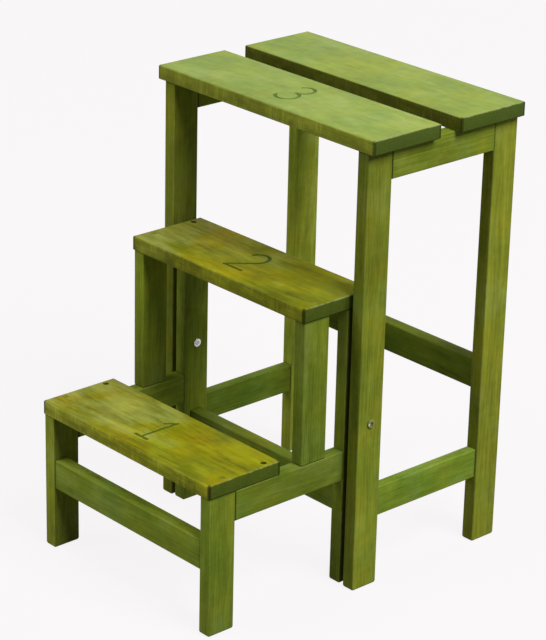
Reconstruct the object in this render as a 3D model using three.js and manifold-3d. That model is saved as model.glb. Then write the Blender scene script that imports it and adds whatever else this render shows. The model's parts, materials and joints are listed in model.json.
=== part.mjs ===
// Folding step stool chair in solid wood. A tall seat frame stands on four legs, and a two-step
// unit turns on two bolts through the front legs. Folded, the unit swings up, over and down into
// the seat frame, and its lower step comes to rest on the rear rail of the frame.
// Millimetres, +Z up, front of the stool towards -Y, origin on the floor under the middle.

import * as THREE from 'three';
import { mergeVertices } from 'three/addons/utils/BufferGeometryUtils.js';
import Module from 'manifold-3d';

const wasm = await Module();
wasm.setup();

// Seat frame
const seatHeight = 640;
const frameWidth = 401;
const frameDepth = 273;
const seatEndOverhang = 11.5;
const seatFrontOverhang = 2.5;
const seatSlot = 37.5;
const sideRailThickness = 16;
const sideRailSetback = 2.5;
const sideRailBottom = 100;

// Timber shared by both halves
const slatThickness = 20;
const slatWidth = 42.5;
const boardThickness = 20;
const edgeEase = 1.25;

// Step unit
const stepOneHeight = 218.5;
const stepTwoHeight = 420.5;
const stepBoardDepth = 121;
const stepBoardInset = 0.5;
const stepOverhang = 2;
const postSetback = 3;
const unitReach = 231.5;
const stretcherSetback = 1.5;
const stretcherBottom = 91.5;
const unitRearRailBottom = 98.5;
const rearFootLift = 1;

// Pivot
const pivotHeight = 243;
const legGap = 7;
const restClearance = 1;
const pivotShankRadius = 4;
const pivotRunningClearance = 0.1;
const pivotSideClearance = 0.25;
const pivotThreadRadius = 3;
const pivotHeadRadius = 6;
const pivotHeadHeight = 2.5;
const pivotHeadEase = 0.75;
const pivotNutBarrel = 12.5;
const pivotNutFloor = 3;
const pivotThreadGap = 1;
const socketRadius = 3;
const socketDepth = 2;
const spacerRadius = 11;

// Joinery
const fitClearance = 0.3;
const tenonThickness = 8;
const tenonHeight = 20;
const tenonLength = 14;
const tenonRise = 3;
const dowelRadius = 4;
const dowelLength = 30;
const dowelTip = 1;
const dowelHeightShare = 0.4;

// Screws
const screwHeadRadius = 4;
const screwHeadHeight = 3;
const screwShankRadius = 2.25;
const screwLength = 30;
const screwTip = 4;
const screwSocketRadius = 2;
const screwSocketDepth = 1.5;
const stepScrewSink = 3;
const stepOneScrewFront = 30;
const stepOneScrewRear = 21;
const stepTwoScrewFront = 28.5;
const stepTwoScrewRear = 20.5;
const seatScrewBore = 23;
const seatScrewFromLeg = 19.5;
const seatScrewFromSlot = 18.5;

// One overrun for every cut that opens a face
const overrun = 2;
const roundSides = 12;
const pivotSides = 24;
const hexSides = 6;

// Places that follow from the sizes above
const legX = (frameWidth - slatThickness) / 2;
const unitLegX = legX - slatThickness - legGap;
const unitHalfWidth = unitLegX + slatThickness / 2;
const stepBoardLength = 2 * (unitHalfWidth - stepBoardInset);
const seatBoardLength = frameWidth + 2 * seatEndOverhang;
const seatBoardDepth = (frameDepth + seatFrontOverhang - seatSlot) / 2;
const seatScrewOuter = slatWidth + seatScrewFromLeg;
const seatScrewInner = seatBoardDepth - seatFrontOverhang - seatScrewFromSlot;
const seatUnderside = seatHeight - boardThickness;
const stepOneUnderside = stepOneHeight - boardThickness;
const stepTwoUnderside = stepTwoHeight - boardThickness;
const frontLegY = slatWidth / 2;
const rearLegY = frameDepth - slatWidth / 2;
const pivotY = frontLegY;
const unitFrontLegY = slatWidth / 2 - unitReach;
const stretcherY = stretcherSetback + slatThickness / 2 - unitReach;
const stepOneFront = -unitReach - stepOverhang;
const stepTwoFront = slatWidth - stepBoardDepth;
const postY = stepTwoFront + postSetback + slatWidth / 2;
const frameRailTop = 2 * pivotHeight - stepOneHeight - restClearance;
const middleY = (stepOneFront + frameDepth) / 2;

const sides = [{ name: 'left', sign: -1 }, { name: 'right', sign: 1 }];

const woodLight = new THREE.Color(0x9aa653);
const woodOlive = new THREE.Color(0x8c8a2c);
const woodDeep = new THREE.Color(0x5f6f24);
const dowelTone = new THREE.Color(0xc8ad7a);
const boltTone = new THREE.Color(0xb9bbb8);
const screwTone = new THREE.Color(0x3b3d35);
const spacerTone = new THREE.Color(0x1b1c1a);

// Turns that swap axes, which keep every coordinate exact: X to Y, Y to Z and Z to X, and back.
const turnForward = new THREE.Matrix4().makeBasis(
  new THREE.Vector3(0, 1, 0), new THREE.Vector3(0, 0, 1), new THREE.Vector3(1, 0, 0));
const turnBack = new THREE.Matrix4().makeBasis(
  new THREE.Vector3(0, 0, 1), new THREE.Vector3(1, 0, 0), new THREE.Vector3(0, 1, 0));

function solidOf(geometry) {
  const bare = geometry.clone();
  bare.deleteAttribute('normal');
  bare.deleteAttribute('uv');
  const merged = mergeVertices(bare);
  return new wasm.Manifold(new wasm.Mesh({
    numProp: 3,
    vertProperties: new Float32Array(merged.getAttribute('position').array),
    triVerts: new Uint32Array(merged.getIndex().array),
  }));
}

function geometryOf(solid) {
  const mesh = solid.getMesh();
  const geometry = new THREE.BufferGeometry();
  geometry.setAttribute('position', new THREE.BufferAttribute(new Float32Array(mesh.vertProperties), 3));
  geometry.setIndex(new THREE.BufferAttribute(new Uint32Array(mesh.triVerts), 1));
  geometry.computeVertexNormals();
  return geometry;
}

// A tool is a geometry with its place in the stool, for a cut or a join.
function tool(geometry, x, y, z) {
  return { geometry, place: new THREE.Vector3(x, y, z) };
}

function shaped(geometry, place, joins, cuts) {
  let solid = solidOf(geometry);
  const local = (item) => {
    const offset = item.place.clone().sub(place);
    return solidOf(item.geometry.clone().translate(offset.x, offset.y, offset.z));
  };
  for (const item of joins) solid = solid.add(local(item));
  for (const item of cuts) solid = solid.subtract(local(item));
  return geometryOf(solid);
}

function piece(name, color, finish, geometry, place, joins = [], cuts = []) {
  const shape = joins.length + cuts.length > 0 ? shaped(geometry, place, joins, cuts) : geometry;
  const mesh = new THREE.Mesh(shape, new THREE.MeshStandardMaterial({ color, ...finish }));
  mesh.name = name;
  mesh.position.copy(place);
  return mesh;
}

const stained = { roughness: 0.55, metalness: 0 };
const bareWood = { roughness: 0.8, metalness: 0 };
const steel = { roughness: 0.3, metalness: 1 };
const nylon = { roughness: 0.5, metalness: 0 };

// Section with its four corners eased, for timber of any size.
function easedSection(width, height) {
  const x = width / 2;
  const y = height / 2;
  const outline = new THREE.Shape();
  outline.moveTo(edgeEase - x, -y);
  outline.lineTo(x - edgeEase, -y);
  outline.lineTo(x, edgeEase - y);
  outline.lineTo(x, y - edgeEase);
  outline.lineTo(x - edgeEase, y);
  outline.lineTo(edgeEase - x, y);
  outline.lineTo(-x, y - edgeEase);
  outline.lineTo(-x, edgeEase - y);
  outline.closePath();
  return outline;
}

function stick(width, height, length, endEase) {
  const geometry = new THREE.ExtrudeGeometry(easedSection(width, height), {
    depth: length - 2 * endEase,
    steps: 1,
    bevelEnabled: endEase > 0,
    bevelThickness: endEase,
    bevelSize: endEase,
    bevelOffset: -endEase,
    bevelSegments: 1,
  });
  return geometry.translate(0, 0, endEase - length / 2);
}

// Timber with its grain upright, from side to side, or from front to back.
const upright = (x, y, z) => stick(x, y, z, edgeEase);
const crosswise = (x, y, z, endEase) => stick(y, z, x, endEase).applyMatrix4(turnForward);
const lengthwise = (x, y, z) => stick(z, x, y, 0).applyMatrix4(turnBack);

const rod = (radius, length, count) => new THREE.CylinderGeometry(radius, radius, length, count);
const uprightRod = (radius, length, count = roundSides) =>
  rod(radius, length, count).applyMatrix4(turnForward);
const crossRod = (radius, length, count = roundSides) =>
  rod(radius, length, count).applyMatrix4(turnBack);

// A round piece from [radius, height] pairs; sign -1 turns it over, end for end.
function lathed(profile, sign, count) {
  const points = profile.map(([radius, height]) => new THREE.Vector2(radius, sign * height));
  if (sign < 0) points.reverse();
  return new THREE.LatheGeometry(points, count);
}

// Dowels
function dowelShape() {
  const half = dowelLength / 2;
  return lathed([
    [0, -half],
    [dowelRadius - dowelTip, -half],
    [dowelRadius, dowelTip - half],
    [dowelRadius, half - dowelTip],
    [dowelRadius - dowelTip, half],
    [0, half],
  ], 1, roundSides);
}

const dowelBoreLength = dowelLength + 2 * fitClearance;
const dowelBoreRadius = dowelRadius + fitClearance;

function crossDowel(name, x, y, z) {
  const bore = tool(crossRod(dowelBoreRadius, dowelBoreLength), x, y, z);
  const place = new THREE.Vector3(x, y, z);
  return { bore, mesh: piece(name, dowelTone, bareWood, dowelShape().applyMatrix4(turnBack), place) };
}

function uprightDowel(name, x, y, z) {
  const bore = tool(uprightRod(dowelBoreRadius, dowelBoreLength), x, y, z);
  const place = new THREE.Vector3(x, y, z);
  return { bore, mesh: piece(name, dowelTone, bareWood, dowelShape().applyMatrix4(turnForward), place) };
}

// A rail that runs from side to side, held at each end by a dowel in the leg.
function dowelledRail(name, dowelName, endX, y, bottom) {
  const place = new THREE.Vector3(0, y, bottom + slatWidth / 2);
  const dowelZ = bottom + dowelHeightShare * slatWidth;
  const dowels = sides.map((side) => crossDowel(`${dowelName}_${side.name}`, side.sign * endX, y, dowelZ));
  const bores = dowels.map((dowel) => dowel.bore);
  const blank = crosswise(2 * endX, slatThickness, slatWidth, 0);
  const rail = piece(name, woodDeep, stained, blank, place, [], bores);
  return { rail, bores, dowels: dowels.map((dowel) => dowel.mesh) };
}

// A rail that runs from front to back, with a stub tenon at each end.
function tenonedRail(name, thickness, x, front, rear, bottom, cuts = []) {
  const place = new THREE.Vector3(x, (front + rear) / 2, bottom + slatWidth / 2);
  const tenonZ = bottom + tenonRise + tenonHeight / 2;
  const tenonSpan = rear - front + 2 * tenonLength;
  const tenonBar = new THREE.BoxGeometry(tenonThickness, tenonSpan, tenonHeight);
  const blank = lengthwise(thickness, rear - front, slatWidth);
  const rail = piece(name, woodDeep, stained, blank, place, [tool(tenonBar, x, place.y, tenonZ)], cuts);
  const mortise = (face, into) => tool(
    new THREE.BoxGeometry(
      tenonThickness + 2 * fitClearance,
      tenonLength + fitClearance + overrun,
      tenonHeight + 2 * fitClearance),
    x, face + into * (tenonLength + fitClearance - overrun) / 2, tenonZ);
  return { rail, frontMortise: mortise(front, -1), rearMortise: mortise(rear, 1) };
}

const socketed = (body, socket) => geometryOf(solidOf(body).subtract(solidOf(socket)));

// Screws: sign 1 drives down with the head on top, sign -1 drives up.
function screwShape(sign) {
  const body = lathed([
    [0, -screwLength],
    [screwShankRadius, screwTip - screwLength],
    [screwShankRadius, 0],
    [screwHeadRadius, 0],
    [screwHeadRadius, screwHeadHeight],
    [0, screwHeadHeight],
  ], sign, roundSides).applyMatrix4(turnForward);
  const socket = uprightRod(screwSocketRadius, 2 * screwSocketDepth, hexSides);
  return socketed(body, socket.translate(0, 0, sign * screwHeadHeight));
}

// A screw at the seat of its head, with the counterbore that opens towards the head side.
function screw(name, sign, x, y, seatZ, boreDepth) {
  const place = new THREE.Vector3(x, y, seatZ);
  const pilotLength = screwLength + fitClearance + overrun;
  const pilot = tool(
    uprightRod(screwShankRadius + fitClearance, pilotLength),
    x, y, seatZ + sign * (overrun - pilotLength / 2));
  const boreLength = boreDepth + overrun;
  const bore = tool(
    uprightRod(screwHeadRadius + fitClearance, boreLength), x, y, seatZ + sign * boreLength / 2);
  return { mesh: piece(name, screwTone, steel, screwShape(sign), place), pilot, bore };
}

function stepScrews(prefix, top, rows) {
  const boreDepth = screwHeadHeight + stepScrewSink;
  return rows.flatMap((row) => sides.map((side) => screw(
    `${prefix}_screw_${row.name}_${side.name}`, 1, side.sign * unitLegX, row.y, top - boreDepth, boreDepth)));
}

const tools = (screws) => screws.flatMap((item) => [item.pilot, item.bore]);
const pilots = (screws) => screws.map((item) => item.pilot);

// Pivot hardware, drawn along the bolt from the outer face of the seat leg inwards.
function pivotHead(seat, outward) {
  const rim = pivotHeadRadius - pivotHeadEase;
  const tip = seat + outward * pivotHeadHeight;
  return [
    [pivotHeadRadius, seat],
    [pivotHeadRadius, tip - outward * pivotHeadEase],
    [rim, tip],
    [0, tip],
  ];
}

function pivotBolt(side) {
  const outerFace = frameWidth / 2;
  const shoulder = unitHalfWidth - slatThickness + pivotNutBarrel + fitClearance;
  const threadEnd = unitHalfWidth - slatThickness + pivotNutFloor + pivotThreadGap;
  const profile = [
    [0, threadEnd],
    [pivotThreadRadius, threadEnd],
    [pivotThreadRadius, shoulder],
    [pivotShankRadius, shoulder],
    [pivotShankRadius, outerFace],
    ...pivotHead(outerFace, 1),
  ];
  const body = lathed(profile, side.sign, pivotSides).applyMatrix4(turnBack);
  const socket = crossRod(socketRadius, 2 * socketDepth, hexSides);
  const socketX = side.sign * (outerFace + pivotHeadHeight);
  const geometry = socketed(body, socket.translate(socketX, 0, 0));
  const place = new THREE.Vector3(0, pivotY, pivotHeight);
  return piece(`pivot_bolt_${side.name}`, boltTone, steel, geometry, place);
}

function pivotNut(side) {
  const headSeat = unitHalfWidth - slatThickness - pivotSideClearance;
  const legFace = unitHalfWidth - slatThickness;
  const profile = [
    ...pivotHead(headSeat, -1).reverse(),
    [pivotShankRadius, headSeat],
    [pivotShankRadius, legFace + pivotNutBarrel],
    [pivotThreadRadius + pivotRunningClearance, legFace + pivotNutBarrel],
    [pivotThreadRadius + pivotRunningClearance, legFace + pivotNutFloor],
    [0, legFace + pivotNutFloor],
  ];
  const body = lathed(profile, side.sign, pivotSides).applyMatrix4(turnBack);
  const socket = crossRod(socketRadius, 2 * socketDepth, hexSides);
  const socketX = side.sign * (headSeat - pivotHeadHeight);
  const geometry = socketed(body, socket.translate(socketX, 0, 0));
  const place = new THREE.Vector3(0, pivotY, pivotHeight);
  return piece(`pivot_cap_nut_${side.name}`, boltTone, steel, geometry, place);
}

function pivotSpacer(side) {
  const thickness = legGap - pivotSideClearance;
  const inner = pivotShankRadius + pivotRunningClearance;
  const profile = [
    [inner, -thickness / 2],
    [spacerRadius, -thickness / 2],
    [spacerRadius, thickness / 2],
    [inner, thickness / 2],
    [inner, -thickness / 2],
  ];
  const x = frameWidth / 2 - slatThickness - thickness / 2;
  const geometry = lathed(profile, 1, pivotSides).applyMatrix4(turnBack);
  const place = new THREE.Vector3(side.sign * x, pivotY, pivotHeight);
  return piece(`pivot_spacer_${side.name}`, spacerTone, nylon, geometry, place);
}

function pivotBore(x, clearance) {
  const bore = crossRod(pivotShankRadius + clearance, slatThickness + 2 * overrun, pivotSides);
  return tool(bore, x, pivotY, pivotHeight);
}

// Seat frame
function seatScrews() {
  const rows = [
    { name: 'front_board_outer', y: seatScrewOuter },
    { name: 'front_board_inner', y: seatScrewInner },
    { name: 'rear_board_inner', y: frameDepth - seatScrewInner },
    { name: 'rear_board_outer', y: frameDepth - seatScrewOuter },
  ];
  const seatZ = seatUnderside - slatWidth + seatScrewBore;
  return rows.flatMap((row) => sides.map((side) => screw(
    `seat_screw_${row.name}_${side.name}`, -1, side.sign * legX, row.y, seatZ, seatScrewBore)));
}

function sideFrame(side, seatScrewSet, rearRail) {
  const x = side.sign * legX;
  const railX = side.sign * (frameWidth / 2 - sideRailSetback - sideRailThickness / 2);
  const legFront = slatWidth;
  const legRear = frameDepth - slatWidth;
  const ownScrews = tools(seatScrewSet.filter((item) => item.mesh.name.endsWith(side.name)));
  const apron = tenonedRail(`seat_apron_${side.name}`, slatThickness, x, legFront, legRear,
    seatUnderside - slatWidth, ownScrews);
  const lower = tenonedRail(`frame_side_rail_${side.name}`, sideRailThickness, railX, legFront, legRear,
    sideRailBottom);
  const leg = (name, y, cuts) => piece(name, woodDeep, stained,
    upright(slatThickness, slatWidth, seatUnderside), new THREE.Vector3(x, y, seatUnderside / 2), [], cuts);
  return [
    leg(`frame_leg_front_${side.name}`, frontLegY,
      [apron.frontMortise, lower.frontMortise, pivotBore(x, fitClearance)]),
    leg(`frame_leg_rear_${side.name}`, rearLegY,
      [apron.rearMortise, lower.rearMortise, ...rearRail.bores]),
    apron.rail,
    lower.rail,
  ];
}

function seatBoard(name, y, screwSet) {
  const blank = crosswise(seatBoardLength, seatBoardDepth, boardThickness, edgeEase);
  const place = new THREE.Vector3(0, y, seatHeight - boardThickness / 2);
  return piece(name, woodLight, stained, blank, place, [], pilots(screwSet));
}

function seatFrame() {
  const group = new THREE.Group();
  const railEndX = legX - slatThickness / 2;
  const rearRail = dowelledRail('frame_rear_rail', 'frame_rail_dowel', railEndX, rearLegY,
    frameRailTop - slatWidth);
  const screwSet = seatScrews();
  const frontScrews = screwSet.filter((item) => item.mesh.name.includes('front_board'));
  const rearScrews = screwSet.filter((item) => item.mesh.name.includes('rear_board'));
  group.add(seatBoard('seat_board_front', seatBoardDepth / 2 - seatFrontOverhang, frontScrews));
  group.add(seatBoard('seat_board_rear', frameDepth - seatBoardDepth / 2, rearScrews));
  for (const side of sides) group.add(...sideFrame(side, screwSet, rearRail));
  group.add(rearRail.rail, ...rearRail.dowels, ...screwSet.map((item) => item.mesh));
  for (const side of sides) group.add(pivotBolt(side), pivotNut(side), pivotSpacer(side));
  return group;
}

// Step unit
function stepBoard(name, height, front, screwSet) {
  const blank = crosswise(stepBoardLength, stepBoardDepth, boardThickness, edgeEase);
  const place = new THREE.Vector3(0, front + stepBoardDepth / 2, height - boardThickness / 2);
  return piece(name, woodOlive, stained, blank, place, [], tools(screwSet));
}

function unitSide(side, rails, screwsOne, screwsTwo, postDowel) {
  const x = side.sign * unitLegX;
  const sideRail = tenonedRail(`step_side_rail_${side.name}`, slatThickness, x, slatWidth - unitReach, 0,
    stepOneUnderside - slatWidth, [...pilots(screwsOne), postDowel.bore]);
  const frontLeg = piece(`step_leg_front_${side.name}`, woodDeep, stained,
    upright(slatThickness, slatWidth, stepOneUnderside),
    new THREE.Vector3(x, unitFrontLegY, stepOneUnderside / 2), [],
    [sideRail.frontMortise, ...rails.stretcher.bores, ...pilots(screwsOne)]);
  const rearLegLength = stepTwoUnderside - rearFootLift;
  const rearLeg = piece(`step_leg_rear_${side.name}`, woodDeep, stained,
    upright(slatThickness, slatWidth, rearLegLength),
    new THREE.Vector3(x, frontLegY, rearFootLift + rearLegLength / 2), [],
    [sideRail.rearMortise, pivotBore(x, pivotRunningClearance), ...rails.rear.bores,
      ...rails.apron.bores, ...pilots(screwsTwo)]);
  const postLength = stepTwoUnderside - stepOneUnderside;
  const post = piece(`step_post_${side.name}`, woodDeep, stained,
    upright(slatThickness, slatWidth, postLength),
    new THREE.Vector3(x, postY, stepOneUnderside + postLength / 2), [],
    [postDowel.bore, ...pilots(screwsTwo)]);
  return [frontLeg, rearLeg, sideRail.rail, post, postDowel.mesh];
}

function stepUnit() {
  const group = new THREE.Group();
  const railEndX = unitLegX - slatThickness / 2;
  const rails = {
    stretcher: dowelledRail('step_front_stretcher', 'stretcher_dowel', railEndX, stretcherY,
      stretcherBottom),
    rear: dowelledRail('step_rear_rail', 'step_rail_dowel', railEndX, frontLegY, unitRearRailBottom),
    apron: dowelledRail('step_upper_apron', 'upper_apron_dowel', railEndX, frontLegY,
      stepTwoUnderside - slatWidth),
  };
  const screwsOne = stepScrews('lower_step', stepOneHeight, [
    { name: 'front', y: stepOneFront + stepOneScrewFront },
    { name: 'rear', y: stepOneFront + stepBoardDepth - stepOneScrewRear },
  ]);
  const screwsTwo = stepScrews('upper_step', stepTwoHeight, [
    { name: 'front', y: stepTwoFront + stepTwoScrewFront },
    { name: 'rear', y: stepTwoFront + stepBoardDepth - stepTwoScrewRear },
  ]);
  group.add(stepBoard('step_board_lower', stepOneHeight, stepOneFront, screwsOne));
  group.add(stepBoard('step_board_upper', stepTwoHeight, stepTwoFront, screwsTwo));
  for (const side of sides) {
    const postDowel = uprightDowel(`post_dowel_${side.name}`, side.sign * unitLegX, postY, stepOneUnderside);
    group.add(...unitSide(side, rails, screwsOne, screwsTwo, postDowel));
  }
  for (const { rail, dowels } of Object.values(rails)) group.add(rail, ...dowels);
  group.add(...[...screwsOne, ...screwsTwo].map((item) => item.mesh));
  return group;
}

const stool = new THREE.Group();
stool.add(seatFrame(), stepUnit());
stool.position.y = -middleY;

export default stool;
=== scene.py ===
"""A folding step stool chair of green-stained wood, built around its packed frame."""

import json
import math

import bmesh
import bpy
from bpy.props import FloatProperty, FloatVectorProperty, IntProperty, PointerProperty
from mathutils import Matrix, Vector

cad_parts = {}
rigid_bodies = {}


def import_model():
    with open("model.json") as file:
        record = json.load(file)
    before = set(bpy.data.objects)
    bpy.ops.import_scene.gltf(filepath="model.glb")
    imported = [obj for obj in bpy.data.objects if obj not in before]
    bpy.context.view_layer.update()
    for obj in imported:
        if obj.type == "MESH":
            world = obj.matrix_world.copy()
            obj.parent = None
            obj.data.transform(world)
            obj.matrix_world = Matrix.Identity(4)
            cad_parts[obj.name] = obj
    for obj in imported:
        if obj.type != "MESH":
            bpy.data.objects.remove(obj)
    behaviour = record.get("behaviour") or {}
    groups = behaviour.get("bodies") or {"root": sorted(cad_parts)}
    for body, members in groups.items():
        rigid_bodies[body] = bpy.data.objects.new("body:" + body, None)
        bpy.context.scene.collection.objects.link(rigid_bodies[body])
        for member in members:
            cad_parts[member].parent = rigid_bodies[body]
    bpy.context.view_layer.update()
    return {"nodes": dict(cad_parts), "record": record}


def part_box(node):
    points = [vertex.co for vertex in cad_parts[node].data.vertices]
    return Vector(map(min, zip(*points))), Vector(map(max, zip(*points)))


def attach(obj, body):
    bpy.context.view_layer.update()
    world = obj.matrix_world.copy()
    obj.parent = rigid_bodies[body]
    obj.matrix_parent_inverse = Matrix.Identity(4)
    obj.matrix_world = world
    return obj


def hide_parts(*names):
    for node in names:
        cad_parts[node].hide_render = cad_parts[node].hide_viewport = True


bl_info = {
    "name": "Folding Step Stool Chair",
    "version": (1, 0, 0),
    "blender": (4, 5, 0),
    "location": "3D View > Sidebar > Step Stool",
    "description": "Builds a folding step stool chair of stained wood around its packed frame",
    "category": "Add Mesh",
}

PICTURE_HEIGHT = 640
FULL_TURN = 2 * math.pi
QUARTER_TURN = math.pi / 2

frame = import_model()
RECORD = frame["record"]
BODY_OF = {node: body for body, nodes in RECORD["behaviour"]["bodies"].items() for node in nodes}
SLOT_OF = {row["node"]: row["material_slot"] for row in RECORD["subparts"]}
SIDES = ("left", "right")


def metres(name, description, default):
    return FloatProperty(
        name=name, description=description, default=default, subtype="DISTANCE", unit="LENGTH")


def position(name, description, default):
    return FloatVectorProperty(
        name=name, description=description, default=default, subtype="XYZ", unit="LENGTH")


def degrees(name, description, default):
    return FloatProperty(name=name, description=description, default=math.radians(default), subtype="ANGLE")


def fraction(name, description, default):
    return FloatProperty(name=name, description=description, default=default, subtype="FACTOR", min=0, max=1)


def watts(name, description, default):
    return FloatProperty(name=name, description=description, default=default, unit="POWER")


def count(name, description, default):
    return IntProperty(name=name, description=description, default=default)


def tint(name, description, hex_code):
    """A colour written as 0xRRGGBB, kept as the linear values that Blender uses."""
    channels = [(hex_code >> shift & 0xFF) / 255 for shift in (16, 8, 0)]
    linear = [c / 12.92 if c <= 0.04045 else ((c + 0.055) / 1.055) ** 2.4 for c in channels]
    return FloatVectorProperty(
        name=name, description=description, default=linear, subtype="COLOR", size=3, min=0, max=1)


class StoolTimber(bpy.types.PropertyGroup):
    """Sizes of the wooden pieces and their joints."""
    edge_radius: metres("Edge radius", "Radius that eases the edges of legs and rails", 0.0018)
    board_radius: metres("Board edge radius", "Radius that rounds the top rim of a board", 0.0022)
    corner_radius: metres("Board corner radius", "Radius of a board's other edges", 0.0011)
    foot_radius: metres("Foot radius", "Radius that rounds the foot of a leg", 0.0038)
    edge_segments: count("Edge segments", "Faces across an eased edge", 5)
    clearance: metres("Clearance", "Room around a tenon, dowel or screw in its hole", 0.0003)
    overrun: metres("Overrun", "How far a cutting tool passes an open face", 0.002)
    tenon_thickness: metres("Tenon thickness", "Across the stub tenons of the rails", 0.008)
    tenon_height: metres("Tenon height", "Height of the stub tenons of the rails", 0.02)
    tenon_rise: metres("Tenon rise", "From the underside of a rail to its tenon", 0.003)


class StoolCarving(bpy.types.PropertyGroup):
    """Sizes of the numerals that are routed into the boards."""
    numeral_height: metres("Numeral height", "From the foot to the head of a numeral", 0.062)
    cutter_radius: metres("Cutter radius", "Radius of the round-nosed cutter", 0.003)
    tip_radius: metres("Tip radius", "Radius of a groove's end, a hair over the cutter's", 0.00306)
    tip_turn: degrees("Tip turn", "Turn that keeps an end's facets off those of the groove", 5.7)
    depth: metres("Depth", "Depth of the groove under the surface", 0.002)


class StoolHardware(bpy.types.PropertyGroup):
    """Sizes of the screws, bolts, cap nuts and spacers."""
    screw_head_height: metres("Screw head height", "Height of a screw's head", 0.003)
    screw_shank_radius: metres("Screw shank radius", "Radius of a screw's shank", 0.00225)
    screw_tip: metres("Screw tip", "Length of a screw's tapered tip", 0.004)
    screw_socket_radius: metres("Screw socket radius", "Centre to corner of the hex recess", 0.002)
    screw_socket_depth: metres("Screw socket depth", "Depth of the hex recess", 0.0015)
    bolt_shank_radius: metres("Bolt shank radius", "Radius of the pivot's shank", 0.004)
    bolt_thread_radius: metres("Bolt thread radius", "Radius of the pivot's threaded end", 0.003)
    bolt_head_height: metres("Bolt head height", "Thickness of the pivot's heads", 0.0025)
    bolt_socket_radius: metres("Bolt socket radius", "Centre to corner of the hex socket", 0.003)
    bolt_socket_depth: metres("Bolt socket depth", "Depth of the hex socket", 0.002)
    bolt_nut_barrel: metres("Nut barrel", "From the leg's inner face to the barrel's end", 0.0125)
    bolt_nut_floor: metres("Nut floor", "From the leg's inner face to the thread's end", 0.003)
    rim_radius: metres("Rim radius", "Radius that eases the rim of a head", 0.0007)
    # Where the bright bare spot lies that paints the bolt head's glint
    glint_spot_offset: position(
        "Worn spot", "From a bolt's middle to the spot that the key rubbed bare", (0.0, -0.0042, -0.0004))
    running_clearance: metres("Running clearance", "Room around a turning shank", 0.0001)
    round_sides: count("Round sides", "Sides of a round piece", 48)


class StoolColours(bpy.types.PropertyGroup):
    """Stain and metal colours."""
    seat_stain: tint("Seat stain", "Light green of the seat boards", 0x9CAC4E)
    seat_shade: tint("Seat shade", "Blue green where the seat's stain lies thick", 0x84A05A)
    step_stain: tint("Step stain", "Olive of the step boards", 0x908F12)
    step_shade: tint("Step shade", "Green where the steps' stain lies thick", 0x6E8426)
    frame_stain: tint("Frame stain", "Yellow green of the legs and rails", 0x8E962E)
    frame_shade: tint("Frame shade", "Green where the frame's stain lies thick", 0x628226)
    board_edge: tint("Board edge", "Yellower stain on the long edges of the boards", 0x9EA22E)
    amber_stain: tint("Amber stain", "Where the stain lies thin", 0xA68C10)
    end_stain: tint("End grain stain", "Where the end grain drinks the stain", 0x4C5E20)
    # Colour of rubbed edges and faded places, which also paints their highlight and sheen
    worn_pale_and_highlight: tint("Worn edge", "Rubbed edges, and pale places where the stain has faded", 0xA8B07E)
    groove_stain: tint("Groove stain", "Bottom of the carved grooves", 0x3F5A18)
    beech: tint("Beech", "Bare wood of the dowels", 0xC8AD7A)
    bolt_metal: tint("Bolt metal", "Plated steel of the cap nuts", 0xD2D3D2)
    stained_metal: tint("Stained metal", "Bolt heads that took the stain", 0x858A48)
    filler: tint("Filler", "Stained filler over the front screws", 0x7C7D1E)
    screw_metal: tint("Screw metal", "Dark steel of the screws", 0x4A4A40)
    nylon: tint("Nylon", "Black plastic of the spacers", 0x1B1C1A)


class StoolStage(bpy.types.PropertyGroup):
    """Floor, light and camera."""
    floor_radius: metres("Floor radius", "Half the width of the round floor", 9.0)
    floor_colour: tint("Floor colour", "Pale studio floor", 0xFBF8FA)
    floor_glow: fraction("Floor glow", "Share of the seen floor that takes no shadow", 0.93)
    floor_bounce: fraction("Floor bounce", "Share of light that the floor sends back", 0.2)
    sky_level: fraction("Sky level", "Strength of the light from all round", 0.06)
    lamp_target: position("Lamp target", "What the lamps point at", (0.0, 0.0, 0.3))
    key_power: watts("Key power", "Power of the key lamp", 1318.0)
    key_size: metres("Key size", "Side of the square key lamp", 6.0)
    key_place: position("Key place", "Where the key lamp hangs", (7.8, 0.3, 9.45))
    fill_power: watts("Fill power", "Power of the fill lamp", 171.0)
    fill_size: metres("Fill size", "Side of the square fill lamp", 4.5)
    fill_place: position("Fill place", "Where the fill lamp hangs", (-2.7, -5.1, 5.85))
    back_power: watts("Back power", "Power of the back lamp", 240.0)
    back_size: metres("Back size", "Side of the square back lamp", 5.0)
    back_place: position("Back place", "Where the back lamp hangs", (-0.8, 8.6, 3.4))
    camera_place: position("Camera place", "Where the camera stands", (2.370817, -2.152704, 1.635978))
    camera_azimuth: degrees("Camera azimuth", "Turn of the view from straight ahead", 47.674)
    camera_elevation: degrees("Camera elevation", "How far the view looks down", 22.241)
    camera_roll: degrees("Camera roll", "Tilt of the picture", 1.371)
    camera_focus: FloatProperty(
        name="Camera focus", description="Focal length in picture heights", default=2551.340 / PICTURE_HEIGHT)


PROPERTY_GROUPS = {
    "stool_timber": StoolTimber,
    "stool_carving": StoolCarving,
    "stool_hardware": StoolHardware,
    "stool_colours": StoolColours,
    "stool_stage": StoolStage,
}

# Faces round the screws and dowel holes and round the floor, and the angle up to which shading is smooth
SMALL_SIDES = 32
FLOOR_SIDES = 96
SMOOTH_LIMIT = math.radians(35)
# Steps of an eased rim, of a numeral's arc and round a groove, and the facets of a groove's round end
RIM_STEPS = 4
ARC_STEPS = 14
GROOVE_STEPS = 4
TIP_SEGMENTS = 20
TIP_RINGS = 12
# Points of a turned solid and of a groove's tube that are nearer than this are one, and so are the ends of
# two strokes whose places agree to so many digits
TURNED_MERGE = 1e-7
TUBE_MERGE = 1e-6
TIP_DIGITS = 6
# How far a screw's hole is open above its head, and how much of the shank's width is left at the tip
SCREW_OPENING = 0.03
SCREW_POINT = 0.4

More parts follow.
